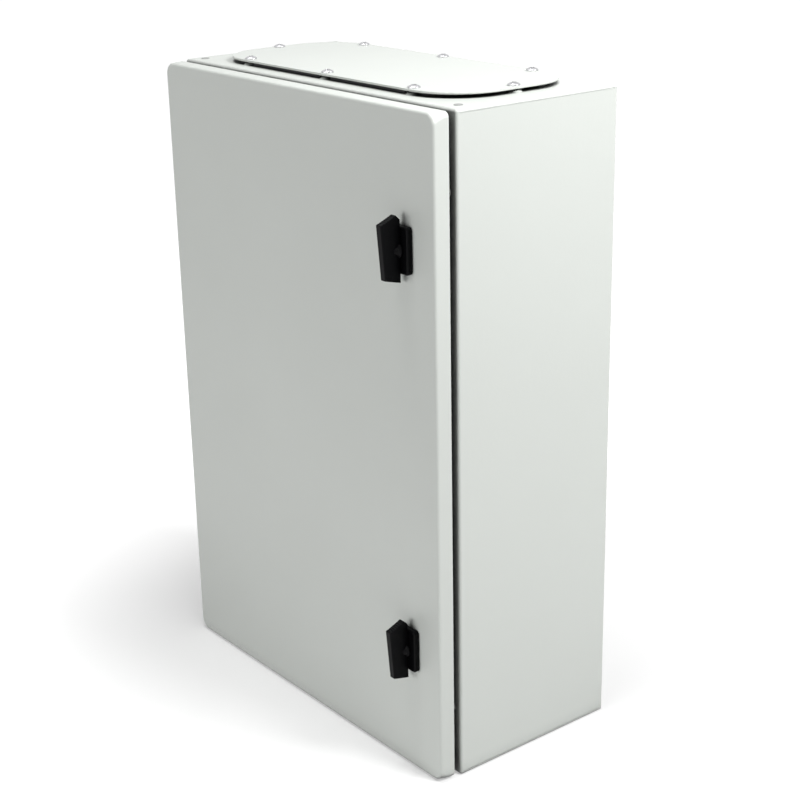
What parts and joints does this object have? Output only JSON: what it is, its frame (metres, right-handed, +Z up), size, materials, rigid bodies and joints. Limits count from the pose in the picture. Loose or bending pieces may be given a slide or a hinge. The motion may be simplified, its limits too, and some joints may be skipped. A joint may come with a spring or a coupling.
{
  "type": "wall enclosure",
  "caption": "Sheet-steel wall box with a hinged door, turn latches that reach behind its frame, a mounting plate inside and a bolted gland plate on top.",
  "frame": {"origin": "centre of the rear face, in the plane that lies against the wall", "axes": "+Z up along the height, +X to the right seen from the front, +Y into the wall; the door faces -Y"},
  "size_m": [0.4, 0.226, 0.608],
  "materials": {
    "powder_coat": "light grey fine-texture powder coat",
    "zinc": "zinc-plated steel",
    "steel_screws": "bright zinc-plated screws",
    "black_plastic": "black glass-filled plastic, satin",
    "gasket_foam": "dark foamed gasket, matt",
    "grey_plastic": "light grey plastic plugs"
  },
  "bodies": {
    "enclosure": {"body_shell": "powder_coat", "rear_panel": "powder_coat", "gland_gasket": "gasket_foam", "gland_plate": "powder_coat", "gland_screws": "steel_screws", "gland_weld_nuts": "zinc", "top_plugs": "grey_plastic", "hinge_hole_plugs": "grey_plastic", "mounting_studs": "zinc", "mounting_plate": "zinc", "mounting_washers": "zinc", "mounting_nuts": "zinc", "body_earth_stud": "zinc", "body_earth_nuts": "zinc", "hinge_block_upper": "zinc", "hinge_block_lower": "zinc", "hinge_screws": "steel_screws"},
    "door": {"door_skin": "powder_coat", "door_gasket": "gasket_foam", "door_rail_left": "zinc", "door_rail_right": "zinc", "door_earth_stud": "zinc", "door_earth_nuts": "zinc", "hinge_leaf_upper": "zinc", "hinge_leaf_lower": "zinc", "hinge_pin_upper": "steel_screws", "hinge_pin_lower": "steel_screws", "latch_seals": "gasket_foam", "latch_housing_upper": "black_plastic", "latch_housing_lower": "black_plastic", "latch_nut_upper": "zinc", "latch_nut_lower": "zinc"},
    "latch_upper": {"latch_handle_upper": "black_plastic", "latch_spindle_upper": "zinc", "latch_cam_upper": "zinc", "latch_cam_bolt_upper": "steel_screws"},
    "latch_lower": {"latch_handle_lower": "black_plastic", "latch_spindle_lower": "zinc", "latch_cam_lower": "zinc", "latch_cam_bolt_lower": "steel_screws"}
  },
  "joints": [
    {"name": "door_hinge", "type": "hinge", "parent": "enclosure", "child": "door", "pos_m": [-0.1935, -0.1905, 0], "axis": [0, 0, -1], "range_deg": [0, 120]},
    {"name": "latch_upper_turn", "type": "hinge", "parent": "door", "child": "latch_upper", "pos_m": [0.1595, -0.2, 0.1845], "axis": [0, 1, 0], "range_deg": [0, 90]},
    {"name": "latch_lower_turn", "type": "hinge", "parent": "door", "child": "latch_lower", "pos_m": [0.1595, -0.2, -0.1785], "axis": [0, 1, 0], "range_deg": [0, 90]}
  ]
}
